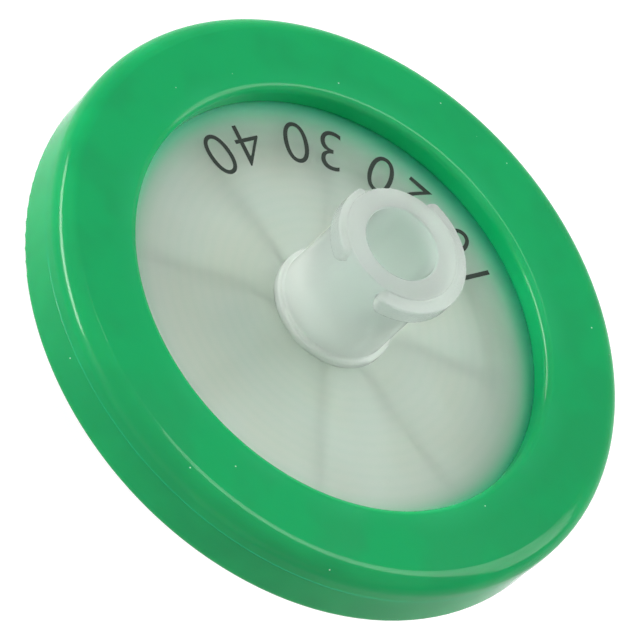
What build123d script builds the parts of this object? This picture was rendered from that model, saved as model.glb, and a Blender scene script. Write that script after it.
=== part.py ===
from build123d import *
import os

# Syringe filter, millimetres. +Z is the axis of symmetry and points to the inlet. The origin is the centre
# of the outlet tip's end. Liquid enters the lock socket on top, crosses the pinched membrane and leaves
# through the tapered tip. A ring moulded round both housings holds them together.

# --- driving dimensions ---
luer_taper = 0.03           # radius gained per millimetre along both tapers, which is 6 % on the diameter

tip_length = 8.6            # exposed length of the male taper
tip_end_d = 3.93
tip_bore_d = 2.1
tip_edge_round = 0.15

hub_d = 6.8                 # plain barrel between the tip and the outlet plate
hub_length = 2.85
hub_shoulder_round = 0.3
hub_root_round = 0.4

ring_d = 34.1
ring_wall = 2.25            # from the housings' rims out to the ring's outside
ring_face_lip = 2.4         # how far the ring reaches in over the inlet housing
ring_back_lip = 2.0         # how far it reaches in under the outlet housing
face_recess = 1.3           # from the ring's face down to the inlet plate
back_recess = 0.38          # from the ring's back up to the outlet plate
ring_lower_step = 0.1       # the wall below the parting line is this much further in
parting_drop = 1.62         # from the ring's face down to the parting line
parting_groove_depth = 0.07  # the fine groove that the parting line leaves, in from the lower wall
parting_groove_rise = 0.04  # its upper flank, up to the upper wall's edge
parting_groove_fall = 0.11  # its lower flank, down to the lower wall
ring_edge_round = 1.0
ring_back_round = 0.4
ring_lip_round = 0.4
ring_back_lip_round = 0.12

weld_rim_width = 0.75       # where the two housings are joined outside the membrane
outlet_plate = 0.55         # plate thickness under the drain ribs
drain_rib_height = 0.3
drain_rib_width = 0.5
drain_rib_pitch = 1.3
drain_well_width = 1.15     # from the outlet bore to the innermost drain rib
drain_channel_width = 0.8
drain_channels = 8

membrane_thick = 0.15
membrane_side_clearance = 0.05

inlet_plate = 1.1
pinch_bead_height = 0.35    # the inlet's bead that presses on the membrane's edge
pinch_bead_width = 1.0
spread_ribs = 8
spread_rib_width = 0.35
spread_rib_clearance = 0.05  # between these ribs and the membrane
spread_rib_port_gap = 1.2   # from the inlet port to where each rib starts
spread_rib_bead_gap = 0.5   # from each rib's end to the bead
rib_turn = -9.0             # azimuth of the first spreading rib, degrees

inlet_height = 7.1          # from the inlet plate's face to the socket's mouth
inlet_port_d = 2.0
socket_mouth_d = 4.27       # across the female taper at its mouth
socket_depth = 7.6
socket_edge_break = 0.08
neck_wall = 1.065           # thickness of the neck's wall at the socket's mouth
neck_root_round = 0.12
boss_step = 0.3             # how far the boss stands out from the neck
boss_height = 0.5
boss_edge_round = 0.15

mouth_rim_step = 0.12       # how far the rim round the mouth stands out from the neck
mouth_rim_depth = 0.85
mouth_rim_round = 0.08
lug_drop = 0.08             # from the mouth down to the lugs' top beside the rim
lug_slope_drop = 0.1        # how much further their top falls out to their edge
lug_depth = 1.22            # from the mouth down to the lugs' underside
lug_edge_round = 0.12
lug_end_round = 0.45
lugs = (                    # azimuth where it starts and ends, and how far it stands out from the neck
    (-72.0, 100.0, 0.83),
    (163.0, 246.0, 0.48),
)

# --- heights that follow from them ---
back_z = tip_length + hub_length
floor_z = back_z + outlet_plate
membrane_z = floor_z + drain_rib_height
membrane_top_z = membrane_z + membrane_thick
under_z = membrane_top_z + pinch_bead_height
face_z = under_z + inlet_plate
mouth_z = face_z + inlet_height
socket_floor_z = mouth_z - socket_depth
ring_back_z = back_z - back_recess
ring_face_z = face_z + face_recess

# --- radii that follow from them ---
housing_r = ring_d / 2 - ring_wall
well_r = housing_r - weld_rim_width
membrane_r = well_r - membrane_side_clearance
bead_inner_r = membrane_r - pinch_bead_width
mouth_r = socket_mouth_d / 2
neck_r = mouth_r + neck_wall
boss_r = neck_r + boss_step
mouth_rim_r = neck_r + mouth_rim_step


def turned(*corners):
    """A solid of revolution about Z. Each corner of its outline is (radius, height, rounding)."""
    points = [(radius, height) for radius, height, _ in corners]
    outline = FilletPolyline(*points, radius=[rounding for _, _, rounding in corners], close=True)
    return revolve(Plane.XZ * make_face(outline), axis=Axis.Z)


def ring_of(inner_r, outer_r, low_z, high_z):
    """A plain square-edged ring about Z, or a disc where inner_r is 0."""
    return turned((inner_r, low_z, 0), (outer_r, low_z, 0), (outer_r, high_z, 0), (inner_r, high_z, 0))


def spoke(azimuth, inner_r, outer_r, width, low_z, high_z):
    """A straight bar that lies radially at an azimuth."""
    bar = Box(outer_r - inner_r, width, high_z - low_z, align=(Align.MIN, Align.CENTER, Align.MIN))
    return Rot(0, 0, azimuth) * Pos(inner_r, 0, low_z) * bar


def lug(start, end, reach):
    """One locking lug, a sector that stands out from the neck, its top a little below the mouth."""
    lug_r = neck_r + reach
    inner_r = neck_r - lug_end_round
    section = FilletPolyline(
        (inner_r, mouth_z - lug_depth), (lug_r, mouth_z - lug_depth),
        (lug_r, mouth_z - lug_drop - lug_slope_drop), (mouth_rim_r, mouth_z - lug_drop),
        (inner_r, mouth_z - lug_drop),
        radius=[0, lug_edge_round, lug_edge_round, 0, 0], close=True,
    )
    sector = revolve(Plane.XZ * make_face(section), axis=Axis.Z, revolution_arc=end - start)
    outer_corners = sector.edges().filter_by(Axis.Z).sort_by_distance((0, 0, mouth_z))[-2:]
    return Rot(0, 0, start) * fillet(outer_corners, lug_end_round)


def neck():
    """Plate, boss, neck and mouth rim with both lugs, still solid inside."""
    rim_low_z = mouth_z - mouth_rim_depth
    body = turned(
        (0, under_z, 0), (housing_r, under_z, 0), (housing_r, face_z, 0), (boss_r, face_z, 0),
        (boss_r, face_z + boss_height, boss_edge_round), (neck_r, face_z + boss_height, neck_root_round),
        (neck_r, rim_low_z, 0), (mouth_rim_r, rim_low_z + mouth_rim_step, 0),
        (mouth_rim_r, mouth_z, mouth_rim_round), (0, mouth_z, 0),
    )
    for start, end, reach in lugs:
        body += lug(start, end, reach)
    return body


def socket():
    """What is cut out of the neck: the female taper with its broken edge, and the port below it."""
    floor_r = mouth_r - luer_taper * socket_depth
    edge_r = mouth_r - luer_taper * socket_edge_break
    taper = turned(
        (0, socket_floor_z, 0), (floor_r, socket_floor_z, 0), (edge_r, mouth_z - socket_edge_break, 0),
        (mouth_r + socket_edge_break, mouth_z, 0), (0, mouth_z, 0),
    )
    return taper + ring_of(0, inlet_port_d / 2, under_z, socket_floor_z)


def inlet_housing():
    """Upper housing, with the bead and the radial spreading ribs on the plate's underside."""
    body = neck() - socket()
    body += ring_of(bead_inner_r, membrane_r, membrane_top_z, under_z)
    rib_start_r = inlet_port_d / 2 + spread_rib_port_gap
    rib_end_r = bead_inner_r - spread_rib_bead_gap
    rib_low_z = membrane_top_z + spread_rib_clearance
    for index in range(spread_ribs):
        azimuth = rib_turn + index * 360 / spread_ribs
        body += spoke(azimuth, rib_start_r, rib_end_r, spread_rib_width, rib_low_z, under_z)
    return body


def drain_pattern():
    """Concentric ribs that carry the membrane, as many as fit, cut through by radial channels."""
    first_r = tip_bore_d / 2 + drain_well_width
    count = int((bead_inner_r - first_r - drain_rib_width) / drain_rib_pitch) + 1
    pattern = Part()
    for index in range(count):
        rib_r = first_r + index * drain_rib_pitch
        pattern += ring_of(rib_r, rib_r + drain_rib_width, floor_z, membrane_z)
    for index in range(drain_channels):
        azimuth = rib_turn + (index + 0.5) * 360 / drain_channels
        pattern -= spoke(azimuth, 0, bead_inner_r, drain_channel_width, floor_z, membrane_z)
    return pattern


def outlet_housing():
    """Lower housing: male taper, hub and plate, with the weld rim and drain ribs on the plate's top."""
    hub_r = hub_d / 2
    tip_end_r = tip_end_d / 2
    tip_root_r = tip_end_r + luer_taper * tip_length
    body = turned(
        (0, 0, 0), (tip_end_r, 0, tip_edge_round), (tip_root_r, tip_length, 0),
        (hub_r, tip_length, hub_shoulder_round), (hub_r, back_z, hub_root_round), (housing_r, back_z, 0),
        (housing_r, under_z, 0), (well_r, under_z, 0), (well_r, membrane_z, 0),
        (bead_inner_r, membrane_z, 0), (bead_inner_r, floor_z, 0), (0, floor_z, 0),
    )
    return body + drain_pattern() - ring_of(0, tip_bore_d / 2, 0, floor_z)


def membrane():
    """Flat porous disc that lies on the drain ribs, its edge held by the bead."""
    return ring_of(0, membrane_r, membrane_z, membrane_top_z)


def overmould_ring():
    """Ring moulded round both housings' rims: lip over the face, wall outside, lip under the back."""
    ring_r = ring_d / 2
    lower_r = ring_r - ring_lower_step
    face_opening_r = housing_r - ring_face_lip
    back_opening_r = housing_r - ring_back_lip
    parting_z = ring_face_z - parting_drop
    return turned(
        (housing_r, back_z, 0), (back_opening_r, back_z, 0),
        (back_opening_r, ring_back_z, ring_back_lip_round), (lower_r, ring_back_z, ring_back_round),
        (lower_r, parting_z - parting_groove_fall, 0), (lower_r - parting_groove_depth, parting_z, 0),
        (ring_r, parting_z + parting_groove_rise, 0), (ring_r, ring_face_z, ring_edge_round),
        (face_opening_r, ring_face_z, ring_lip_round), (face_opening_r, face_z, 0), (housing_r, face_z, 0),
    )


def main():
    os.makedirs("parts", exist_ok=True)
    nodes = {
        "inlet_housing": inlet_housing(),
        "outlet_housing": outlet_housing(),
        "membrane": membrane(),
        "overmould_ring": overmould_ring(),
    }
    for name, solid in nodes.items():
        export_step(solid, f"parts/{name}.step")


main()
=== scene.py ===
import math

import bpy
from mathutils import Matrix, Vector


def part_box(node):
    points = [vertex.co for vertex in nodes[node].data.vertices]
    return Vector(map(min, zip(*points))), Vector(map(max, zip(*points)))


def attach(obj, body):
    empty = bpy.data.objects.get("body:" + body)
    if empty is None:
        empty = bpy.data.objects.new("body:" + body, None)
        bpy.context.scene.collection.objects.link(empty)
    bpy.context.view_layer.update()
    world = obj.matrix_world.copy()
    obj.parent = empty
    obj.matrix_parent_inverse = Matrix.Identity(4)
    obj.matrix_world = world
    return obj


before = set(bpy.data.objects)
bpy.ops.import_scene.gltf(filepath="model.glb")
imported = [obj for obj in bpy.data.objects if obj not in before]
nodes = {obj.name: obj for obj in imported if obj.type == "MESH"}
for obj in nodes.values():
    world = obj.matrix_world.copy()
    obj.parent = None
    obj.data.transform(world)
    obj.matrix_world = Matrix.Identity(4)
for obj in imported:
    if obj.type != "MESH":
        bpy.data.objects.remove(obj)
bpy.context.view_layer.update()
bpy.ops.object.select_all(action="DESELECT")

# ---------------------------------------------------------------------------------------------------------
# View of the filter: a long lens looks down on the disc at a little over 45 degrees, and the camera is
# rolled so that the axis leans to the upper right. It aims about a millimetre beside the ring's middle.
MM = 0.001
VIEW_ELEVATION = math.radians(45.4)
AXIS_LEAN = math.radians(42.8)          # above the horizontal, once rolled
VIEW_DISTANCE = 680 * MM
LENS = 735.8                            # focal length in millimetres
CLIP_START = 0.1
CLIP_END = 10.0
AIM_BELOW_RING_FACE = 0.59 * MM
AIM_LEFT = 0.961 * MM
AIM_DOWN = 0.897 * MM

_, ring_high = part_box("overmould_ring")
to_camera = Vector((0, -math.cos(VIEW_ELEVATION), math.sin(VIEW_ELEVATION)))
axis_in_view = Vector((0, math.sin(VIEW_ELEVATION), math.cos(VIEW_ELEVATION)))
across = Vector((1, 0, 0))
image_right = across * math.sin(AXIS_LEAN) + axis_in_view * math.cos(AXIS_LEAN)
image_up = axis_in_view * math.sin(AXIS_LEAN) - across * math.cos(AXIS_LEAN)
aim = Vector((0, 0, ring_high.z - AIM_BELOW_RING_FACE)) - image_right * AIM_LEFT - image_up * AIM_DOWN

bpy.ops.object.camera_add()
camera = bpy.context.object
camera.name = "view"
camera.data.lens = LENS
camera.data.clip_start = CLIP_START
camera.data.clip_end = CLIP_END
facing = Matrix((image_right, image_up, to_camera)).transposed().to_4x4()
camera.matrix_world = Matrix.Translation(aim + to_camera * VIEW_DISTANCE) @ facing
bpy.context.scene.camera = camera

# ---------------------------------------------------------------------------------------------------------
# Studio: a white floor that the tip just touches and a plain white surround. A wide box and a bright tube
# stand low on the left and one box high behind, with a weak fill on the right that isn't mirrored. The
# lamps don't shine straight through the housings.
FLOOR_SIZE = 3.0
FLOOR_GREY = 0.5
FLOOR_ROUGHNESS = 0.9
FLOOR_LIFT = 0.67                       # what brings the floor to white where it is looked at
SURROUND = 0.645                        # strength of its light; it is 1, white, where it is looked at
WHITE = (1, 1, 1, 1)
LAMP_DISTANCE = 0.5                     # metres, as the floor's size and the lamps' widths


def feed(tree, socket, value):
    """Links an input socket to an output, or sets it to a number or colour."""
    if isinstance(value, bpy.types.NodeSocket):
        tree.links.new(value, socket)
    else:
        socket.default_value = value


def node(tree, kind, settings=None, **inputs):
    """A node with settings such as its operation. Inputs are fed by name, with _ in place of a space."""
    made = tree.nodes.new(kind)
    for key, value in (settings or {}).items():
        setattr(made, key, value)
    for key, value in inputs.items():
        feed(tree, made.inputs[key.replace("_", " ")], value)
    return made


def math_node(tree, operation, *values):
    """The output of a Math node whose inputs are numbers or sockets, in order."""
    made = node(tree, "ShaderNodeMath", {"operation": operation})
    for socket, value in zip(made.inputs, values):
        feed(tree, socket, value)
    return made.outputs[0]


def material(name):
    """A new node material, its node tree and the inputs of its Principled shader."""
    made = bpy.data.materials.new(name)
    made.use_nodes = True
    return made, made.node_tree, made.node_tree.nodes["Principled BSDF"].inputs


def seen(tree):
    """1 where the camera, a mirror reflection or a clear material looks at a surface, 0 for its light."""
    path = tree.nodes.new("ShaderNodeLightPath")
    looked_at = math_node(tree, "MAXIMUM", path.outputs["Is Camera Ray"], path.outputs["Is Glossy Ray"])
    return math_node(tree, "MAXIMUM", looked_at, path.outputs["Is Transmission Ray"])


bpy.ops.mesh.primitive_plane_add(size=FLOOR_SIZE, location=(0, 0, 0))
floor = bpy.context.object
floor.name = "floor"
floor_paint, tree, shader = material("white_floor")
shader["Base Color"].default_value = (FLOOR_GREY, FLOOR_GREY, FLOOR_GREY, 1)
shader["Roughness"].default_value = FLOOR_ROUGHNESS
shader["Specular IOR Level"].default_value = 0.0
shader["Emission Color"].default_value = WHITE
feed(tree, shader["Emission Strength"], math_node(tree, "MULTIPLY", seen(tree), FLOOR_LIFT))
floor.data.materials.append(floor_paint)

world = bpy.data.worlds.new("studio")
bpy.context.scene.world = world
world.use_nodes = True
tree = world.node_tree
background = tree.nodes["Background"].inputs
background["Color"].default_value = WHITE
lift = math_node(tree, "MULTIPLY", seen(tree), 1 - SURROUND)
feed(tree, background["Strength"], math_node(tree, "ADD", lift, SURROUND))


def softbox(name, start, end, width, watts, mirrored=True):
    """An area lamp that faces the middle of the ring's face. Its long side runs from start to end, each an
    azimuth (0 is the camera's side, -90 its left) and an elevation, in degrees."""
    ends = []
    for azimuth, elevation in (start, end):
        a = math.radians(azimuth)
        e = math.radians(elevation)
        direction = Vector((math.sin(a) * math.cos(e), -math.cos(a) * math.cos(e), math.sin(e)))
        ends.append(direction * LAMP_DISTANCE)
    middle = (ends[0] + ends[1]) / 2
    along = ends[1] - ends[0]
    bpy.ops.object.light_add(type="AREA")
    lamp = bpy.context.object
    lamp.name = name
    lamp.data.shape = "RECTANGLE"
    lamp.data.size = along.length
    lamp.data.size_y = width
    lamp.data.energy = watts
    lamp.visible_camera = False
    lamp.visible_transmission = False
    lamp.visible_glossy = mirrored
    back = middle.normalized()
    side = along.normalized()
    turn = Matrix((side, back.cross(side), back)).transposed().to_4x4()
    lamp.matrix_world = Matrix.Translation(middle + Vector((0, 0, ring_high.z))) @ turn


softbox("left_box", start=(-105, 7), end=(-30, 7), width=0.167, watts=0.33)
softbox("left_tube", start=(-103, 18), end=(-46, 6), width=0.087, watts=2.1)
softbox("back_box", start=(184, 63), end=(128, 22), width=0.17, watts=1.35)
softbox("right_fill", start=(20, 12), end=(80, 12), width=0.2, watts=0.42, mirrored=False)

# ---------------------------------------------------------------------------------------------------------
# Ring: green polypropylene moulded round the rims of both housings, glossy from a polished mould. It lets
# a little light in at its lip and edges, and near the lip this light is also painted into its colour as a
# lighter green glow. Broad faint clouds show where the colour ran denser, and a few pale specks where dust
# was moulded in.
RING_GREEN = (0.001, 0.298, 0.088, 1)
DENSE_GREEN = (0.001, 0.255, 0.077, 1)
DENSE_SHARE = 0.7                       # of the denser green in the middle of a cloud
# painted glow: a lighter green near the lip that stands in for the light the lip lets in
LIP_GLOW_PAINT = (0.006, 0.315, 0.105, 1)
SPECK = (0.45, 0.75, 0.58, 1)
LIP_RADIUS = 12.4                       # millimetres, as all radii, heights and sizes in materials
LIP_GLOW_END = 14.3
LIP_GLOW_CLOUDS = (-0.5, 1.2)           # cloud values at which the lip's glow would be gone and full
RING_ROUGHNESS = (0.10, 0.15)           # outside a cloud and in its middle
RING_CLOUD_SIZE = 4.0
RING_SPECK_SPACING = 1.6
CLOUD_EDGES = (0.3, 0.7)                # noise values at a cloud's edge and in its middle
SPECK_EDGES = (0.03, 0.015)             # a speck's radii as shares of the spacing: where it ends, is full
HEAD_ON_GLOSS = 0.24                    # specular level where the surface faces the eye
TURNED_GLOSS = 0.13                     # and where it is turned away
TURNED_FACING = (0.16, 0.28)            # between these; 0 is head-on and 1 edge-on
EDGE_GLOSS_LOSS = 0.10
EDGE_FACING = (0.45, 0.85)
PLASTIC_IOR = 1.49
RING_SCATTER = 0.6
RING_SCATTER_REACH = (0.2, 1.0, 0.5)    # of red, green and blue, as shares of the depth
RING_SCATTER_DEPTH = 1.4


def add_group(name, inputs, outputs):
    """An empty shader node group with named sockets; returns the group and its two end nodes."""
    group = bpy.data.node_groups.new(name, "ShaderNodeTree")
    for socket, value in inputs.items():
        made = group.interface.new_socket(socket, in_out="INPUT", socket_type="NodeSocketFloat")
        made.default_value = value
    for socket in outputs:
        group.interface.new_socket(socket, in_out="OUTPUT", socket_type="NodeSocketFloat")
    return group, group.nodes.new("NodeGroupInput"), group.nodes.new("NodeGroupOutput")


def ramp(tree, value, start, end, low=0.0, high=1.0):
    """A smooth step of a value, from low at start to high at end."""
    made = node(tree, "ShaderNodeMapRange", {"interpolation_type": "SMOOTHSTEP"},
                Value=value, From_Min=start, From_Max=end, To_Min=low, To_Max=high)
    return made.outputs["Result"]


def mix(tree, factor, first, second):
    """The colour between two colours, each a value or a socket."""
    made = node(tree, "ShaderNodeMix", {"data_type": "RGBA"})
    feed(tree, made.inputs[0], factor)
    feed(tree, made.inputs[6], first)       # the sockets for colours come after those for numbers
    feed(tree, made.inputs[7], second)
    return made.outputs[2]


def dress(piece, finish):
    """Gives a piece one material all over."""
    piece.data.materials.clear()
    piece.data.materials.append(finish)


# where a point lies about the axis: its radius and height in millimetres and its azimuth in degrees
place_group, _, place_end = add_group("place_about_axis", {}, ("Radius", "Azimuth", "Height"))
coordinates = node(place_group, "ShaderNodeTexCoord")
split = node(place_group, "ShaderNodeSeparateXYZ", Vector=coordinates.outputs["Object"])
x, y, z = split.outputs
square = math_node(place_group, "MULTIPLY_ADD", x, x, math_node(place_group, "MULTIPLY", y, y))
radius = math_node(place_group, "MULTIPLY", math_node(place_group, "SQRT", square), 1 / MM)
azimuth = math_node(place_group, "DEGREES", math_node(place_group, "ARCTAN2", y, x))
height = math_node(place_group, "MULTIPLY", z, 1 / MM)
for socket, value in zip(place_end.inputs, (radius, azimuth, height)):
    place_group.links.new(value, socket)

# the uneven skin of a moulding: broad clouds, fine grain for the relief, and sparse specks
skin_group, skin_start, skin_end = add_group(
    "moulded_skin",
    {"Cloud Size": 5.0, "Grain Size": 0.15, "Speck Spacing": 3.0},
    ("Cloud", "Grain", "Speck"))
coordinates = node(skin_group, "ShaderNodeTexCoord")


def in_units_of(name):
    """Object coordinates divided by a size in millimetres from the group's inputs."""
    per_metre = math_node(skin_group, "DIVIDE", 1 / MM, skin_start.outputs[name])
    return node(skin_group, "ShaderNodeVectorMath", {"operation": "SCALE"},
                Vector=coordinates.outputs["Object"], Scale=per_metre).outputs[0]


clouds = node(skin_group, "ShaderNodeTexNoise", Vector=in_units_of("Cloud Size"), Scale=1.0, Detail=2.0)
grain = node(skin_group, "ShaderNodeTexNoise", Vector=in_units_of("Grain Size"), Scale=1.0, Detail=3.0)
specks = node(skin_group, "ShaderNodeTexVoronoi", Vector=in_units_of("Speck Spacing"), Scale=1.0)
feed(skin_group, skin_end.inputs["Cloud"], ramp(skin_group, clouds.outputs[0], *CLOUD_EDGES))
feed(skin_group, skin_end.inputs["Grain"], grain.outputs[0])
feed(skin_group, skin_end.inputs["Speck"], ramp(skin_group, specks.outputs["Distance"], *SPECK_EDGES))

ring_plastic, tree, shader = material("green_ring_plastic")
place = node(tree, "ShaderNodeGroup", {"node_tree": place_group}).outputs
skin = node(tree, "ShaderNodeGroup", {"node_tree": skin_group},
            Cloud_Size=RING_CLOUD_SIZE, Speck_Spacing=RING_SPECK_SPACING).outputs
green = mix(tree, ramp(tree, skin["Cloud"], 0.0, 1.0, 0.0, DENSE_SHARE), RING_GREEN, DENSE_GREEN)
# painted glow: the base colour turns a lighter green towards the lip, for the light let in there
near_lip = ramp(tree, place["Radius"], LIP_GLOW_END, LIP_RADIUS)
painted_lip_glow = math_node(tree, "MULTIPLY", near_lip, ramp(tree, skin["Cloud"], *LIP_GLOW_CLOUDS))
green = mix(tree, painted_lip_glow, green, LIP_GLOW_PAINT)
feed(tree, shader["Base Color"], mix(tree, skin["Speck"], green, SPECK))
feed(tree, shader["Roughness"], ramp(tree, skin["Cloud"], 0.0, 1.0, *RING_ROUGHNESS))
turned_away = node(tree, "ShaderNodeLayerWeight", Blend=0.5).outputs["Facing"]
gloss = ramp(tree, turned_away, *TURNED_FACING, HEAD_ON_GLOSS, TURNED_GLOSS)
edge_loss = ramp(tree, turned_away, *EDGE_FACING, 0.0, EDGE_GLOSS_LOSS)
feed(tree, shader["Specular IOR Level"], math_node(tree, "SUBTRACT", gloss, edge_loss))
shader["IOR"].default_value = PLASTIC_IOR
shader["Subsurface Weight"].default_value = RING_SCATTER
shader["Subsurface Radius"].default_value = RING_SCATTER_REACH
shader["Subsurface Scale"].default_value = RING_SCATTER_DEPTH * MM
dress(nodes["overmould_ring"], ring_plastic)

# ---------------------------------------------------------------------------------------------------------
# Housings: the inlet disc with its socket and the outlet disc with its tip, each one shot of natural milky
# polypropylene from a turned mould, clamped by the ring. Green light from the ring is painted onto the
# plate near it, widest on one side. The ribs below the plate and the turning marks are painted as faint
# shaded bands, the inlet's upper part is painted paler for the light let through its thin walls, and the
# bore is painted a tone of its own for the light seen in it. The lugs' side faces are rough.
MILKY = (0.79, 0.875, 0.815, 1)
MILKY_WARM = (0.815, 0.87, 0.79, 1)
THIN_WALL_LIGHT_PAINT = (0.945, 0.985, 0.955, 1)   # painted paler on the inlet's upper part, for light let through its thinner walls
# painted light and shade: the bore's tone stands in for what is seen through its walls
BORE_LIGHT_PAINT = (0.79, 0.93, 0.865, 1)
# painted green glow that the ring casts onto the plate: halfway and full
MID_RING_GLOW = (0.30, 0.72, 0.46, 1)
FULL_RING_GLOW = (0.0, 0.90, 0.36, 1)
PAINTED_RIB_SHADE = (0.58, 0.78, 0.68, 1)       # painted shade of the ribs seen through the plate, also of the turning marks
HOUSING_CLOUD_SIZE = 3.5
HOUSING_GRAIN_SIZE = 0.12

FACE_RECESS = 1.3                       # how far the plate's face lies below the ring's
INLET_FOOT = 0.2                        # this and the next four are heights over the plate's face
BOSS_TOP = 0.5
NECK_LOW = 1.1                          # the neck is painted paler from here to NECK_HIGH
NECK_HIGH = 4.6
LUG_FOOT = 5.7
FOOT_BLEND = 0.15                       # height over which the inlet's loss of clearness sets in
BORE_RADIUS = 2.15                      # a little wider than the socket at its mouth
BORE_EDGE = 0.1

RIB_TURN = -9.0                         # azimuth of one of the ribs, degrees
RIB_STEP = 45.0
RIB_EDGES = (0.6, 0.1)                  # distances from a rib's middle: where its shade ends, is full
RIB_STRENGTH = 0.05
RIB_START = (3.5, 5.5)                  # radii between which a rib comes up
MARK_PITCH = 0.65                       # of the turning marks
MARK_EDGES = (-0.6, 1.0)                # heights of a mark's wave: where its shade ends, is full
MARK_STRENGTH = 0.10
MARK_START = (3.8, 5.0)

# where the ring's green glow is painted onto the plate
RING_GLOW_START = 9.3
RING_GLOW_END = 12.4
RING_GLOW_AZIMUTH = 100.0                    # where the painted glow is widest, degrees
RING_GLOW_POWER = 2.1                        # a higher power draws the painted glow closer to the ring
RING_GLOW_POWER_SWING = 1.35                 # less on the widest side, more on the other
MID_RING_GLOW_RANGE = (0.0, 0.75)
FULL_RING_GLOW_RANGE = (0.45, 1.0)
FULL_RING_GLOW_SHARE = 0.9

LUG_BLEND = 0.3
LUG_FLANK = (3.4, 3.55)                 # radii, just outside the neck and the rim round its mouth
FLANK_BUMP = 0.6
FLANK_DEPTH = 0.05
HOUSING_ROUGHNESS = (0.55, 0.65)
PLATE_CLEARNESS = 0.87
RING_SIDE_LOSS = 0.6                    # of clearness, next to the ring
NECK_LOSS = (0.04, 0.38)                # of clearness, at NECK_HIGH and NECK_LOW
SHEEN_COAT = 0.5
COAT_ROUGHNESS = 0.12
COAT_IOR = 1.4
HOUSING_SCATTER_DEPTH = 8.0

plate_face = ring_high.z / MM - FACE_RECESS
housing_plastic, tree, shader = material("clear_housing_plastic")
place = node(tree, "ShaderNodeGroup", {"node_tree": place_group}).outputs
skin = node(tree, "ShaderNodeGroup", {"node_tree": skin_group},
            Cloud_Size=HOUSING_CLOUD_SIZE, Grain_Size=HOUSING_GRAIN_SIZE).outputs
radius = place["Radius"]
azimuth = place["Azimuth"]
over_plate = math_node(tree, "SUBTRACT", place["Height"], plate_face)

milk_and_painted_light = mix(tree, skin["Cloud"], MILKY, MILKY_WARM)
# painted light: the inlet turns paler upwards, for light let through its thin walls
milk_and_painted_light = mix(tree, ramp(tree, over_plate, NECK_LOW, NECK_HIGH), milk_and_painted_light, THIN_WALL_LIGHT_PAINT)
# painted light and shade: the socket's bore gets a tone of its own
within_socket = ramp(tree, radius, BORE_RADIUS + BORE_EDGE, BORE_RADIUS)
in_bore = math_node(tree, "MULTIPLY", within_socket, ramp(tree, over_plate, INLET_FOOT, BOSS_TOP))
milk_and_painted_light = mix(tree, in_bore, milk_and_painted_light, BORE_LIGHT_PAINT)

# painted shade: faint darker bands over the ribs below the plate
off_rib = math_node(tree, "PINGPONG", math_node(tree, "ADD", azimuth, 360 - RIB_TURN), RIB_STEP / 2)
off_rib = math_node(tree, "SINE", math_node(tree, "RADIANS", off_rib))
rib_distance = math_node(tree, "MULTIPLY", off_rib, radius)
rib = ramp(tree, rib_distance, *RIB_EDGES, 0.0, RIB_STRENGTH)
milk_and_painted_light = mix(tree, math_node(tree, "MULTIPLY", rib, ramp(tree, radius, *RIB_START)), milk_and_painted_light, PAINTED_RIB_SHADE)
# painted shade: faint darker rings along the turning marks
wave = math_node(tree, "SINE", math_node(tree, "MULTIPLY", radius, math.tau / MARK_PITCH))
mark = ramp(tree, wave, *MARK_EDGES, 0.0, MARK_STRENGTH)
milk_and_painted_light = mix(tree, math_node(tree, "MULTIPLY", mark, ramp(tree, radius, *MARK_START)), milk_and_painted_light, PAINTED_RIB_SHADE)

# painted green glow from the ring on the plate, wider on one side than the other
turned = math_node(tree, "RADIANS", math_node(tree, "SUBTRACT", azimuth, RING_GLOW_AZIMUTH))
power = math_node(tree, "MULTIPLY_ADD", math_node(tree, "COSINE", turned), -RING_GLOW_POWER_SWING, RING_GLOW_POWER)
near_ring = math_node(tree, "SUBTRACT", radius, RING_GLOW_START)
near_ring = math_node(tree, "DIVIDE", near_ring, RING_GLOW_END - RING_GLOW_START)
near_ring = math_node(tree, "MAXIMUM", math_node(tree, "MINIMUM", near_ring, 1.0), 0.0)
near_ring = math_node(tree, "POWER", near_ring, power)
milk_and_painted_light = mix(tree, ramp(tree, near_ring, *MID_RING_GLOW_RANGE), milk_and_painted_light, MID_RING_GLOW)
milk_and_painted_light = mix(tree, ramp(tree, near_ring, *FULL_RING_GLOW_RANGE, 0.0, FULL_RING_GLOW_SHARE), milk_and_painted_light, FULL_RING_GLOW)
feed(tree, shader["Base Color"], milk_and_painted_light)

on_lug = math_node(tree, "MULTIPLY", ramp(tree, over_plate, LUG_FOOT, LUG_FOOT + LUG_BLEND),
                   ramp(tree, radius, *LUG_FLANK))
rough_flank = node(tree, "ShaderNodeBump", Strength=FLANK_BUMP, Distance=FLANK_DEPTH * MM,
                   Height=math_node(tree, "MULTIPLY", skin["Grain"], on_lug)).outputs[0]
feed(tree, shader["Normal"], rough_flank)
feed(tree, shader["Coat Normal"], rough_flank)
feed(tree, shader["Roughness"], ramp(tree, skin["Cloud"], 0.0, 1.0, *HOUSING_ROUGHNESS))
clearness = math_node(tree, "MULTIPLY_ADD", near_ring, -RING_SIDE_LOSS, PLATE_CLEARNESS)
neck_loss = math_node(tree, "MULTIPLY", ramp(tree, over_plate, NECK_HIGH, NECK_LOW, *NECK_LOSS),
                      ramp(tree, over_plate, INLET_FOOT - FOOT_BLEND, INLET_FOOT))
feed(tree, shader["Transmission Weight"], math_node(tree, "SUBTRACT", clearness, neck_loss))
shader["IOR"].default_value = PLASTIC_IOR
shader["Coat Weight"].default_value = SHEEN_COAT
shader["Coat Roughness"].default_value = COAT_ROUGHNESS
shader["Coat IOR"].default_value = COAT_IOR
shader["Subsurface Weight"].default_value = 1.0
shader["Subsurface Radius"].default_value = (1.0, 1.0, 1.0)
shader["Subsurface Scale"].default_value = HOUSING_SCATTER_DEPTH * MM
for name in ("inlet_housing", "outlet_housing"):
    dress(nodes[name], housing_plastic)

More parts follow.
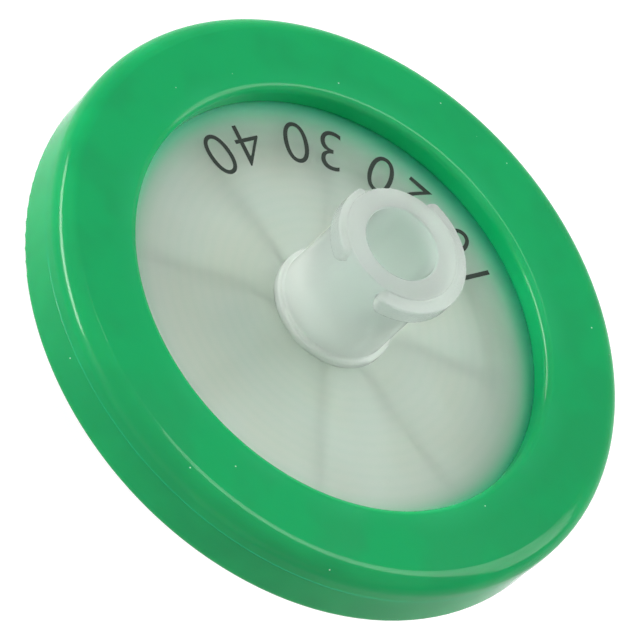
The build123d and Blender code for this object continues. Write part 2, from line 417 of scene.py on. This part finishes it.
# ---------------------------------------------------------------------------------------------------------
# Membrane: a disc of white porous film, matt, punched from sheet and pinched at its edge between the two
# housings. It shows only as a white tone through them.
FILM_WHITE = (0.82, 0.85, 0.82, 1)
FILM_PALE = (0.88, 0.89, 0.86, 1)
FILM_CLOUD_SIZE = 2.0
FILM_ROUGHNESS = 0.8

membrane_film, tree, shader = material("membrane_film")
skin = node(tree, "ShaderNodeGroup", {"node_tree": skin_group}, Cloud_Size=FILM_CLOUD_SIZE).outputs
feed(tree, shader["Base Color"], mix(tree, skin["Cloud"], FILM_WHITE, FILM_PALE))
shader["Roughness"].default_value = FILM_ROUGHNESS
dress(nodes["membrane"], membrane_film)

# ---------------------------------------------------------------------------------------------------------
# Print: plain numbers like those of a dial, stamped in dark ink round the plate with their tops towards
# the axis. The ink is a film with a thickness of its own that lies on the plate.
INK_DARK = (0.010, 0.017, 0.012, 1)
INK_LIGHT = (0.022, 0.034, 0.026, 1)
INK_GRAIN_SIZE = 0.05
INK_ROUGHNESS = 0.6
INK_GLOSS = 0.2                         # specular level
INK_HEIGHT = 2.55 * MM                  # of a digit
INK_BASELINE = 11.25 * MM               # radius at the digits' feet
INK_THINNER = 0.05 * MM                 # how far each stroke's edge is drawn in
INK_FILM = 0.01 * MM
FONT_DIGIT_SHARE = 0.70                 # a digit's height over the font's size
NUMBERS = (10, 20, 30, 40)
NUMBER_AZIMUTHS = (68.0, 98.0, 128.0, 158.0)    # of each number's first digit, degrees
DIGIT_STEP = 12.0                       # degrees between a number's two digits

ink, tree, shader = material("print_ink")
skin = node(tree, "ShaderNodeGroup", {"node_tree": skin_group}, Grain_Size=INK_GRAIN_SIZE).outputs
feed(tree, shader["Base Color"], mix(tree, skin["Grain"], INK_DARK, INK_LIGHT))
shader["Roughness"].default_value = INK_ROUGHNESS
shader["Specular IOR Level"].default_value = INK_GLOSS

digits = []
for number, start in zip(NUMBERS, NUMBER_AZIMUTHS):
    for index, character in enumerate(str(number)):
        bpy.ops.object.text_add()
        digit = bpy.context.object
        digit.data.body = character
        digit.data.size = INK_HEIGHT / FONT_DIGIT_SHARE
        digit.data.align_x = "CENTER"
        digit.data.extrude = INK_FILM
        digit.data.offset = -INK_THINNER
        bpy.ops.object.convert(target="MESH")
        turn = math.radians(start + DIGIT_STEP * index)
        foot = Vector((math.cos(turn), math.sin(turn), 0)) * INK_BASELINE + Vector((0, 0, plate_face * MM))
        digit.matrix_world = Matrix.Translation(foot) @ Matrix.Rotation(turn + math.pi / 2, 4, "Z")
        bpy.ops.object.transform_apply(location=True, rotation=True, scale=True)
        digits.append(digit)
bpy.ops.object.select_all(action="DESELECT")
for digit in digits:
    digit.select_set(True)
bpy.context.view_layer.objects.active = digits[0]
bpy.ops.object.join()
numbers = bpy.context.object
numbers.name = "dial_numbers"
dress(numbers, ink)
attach(numbers, "root")
bpy.ops.object.select_all(action="DESELECT")

# ---------------------------------------------------------------------------------------------------------
# Colours shown as they are written.
bpy.context.scene.view_settings.view_transform = "Standard"
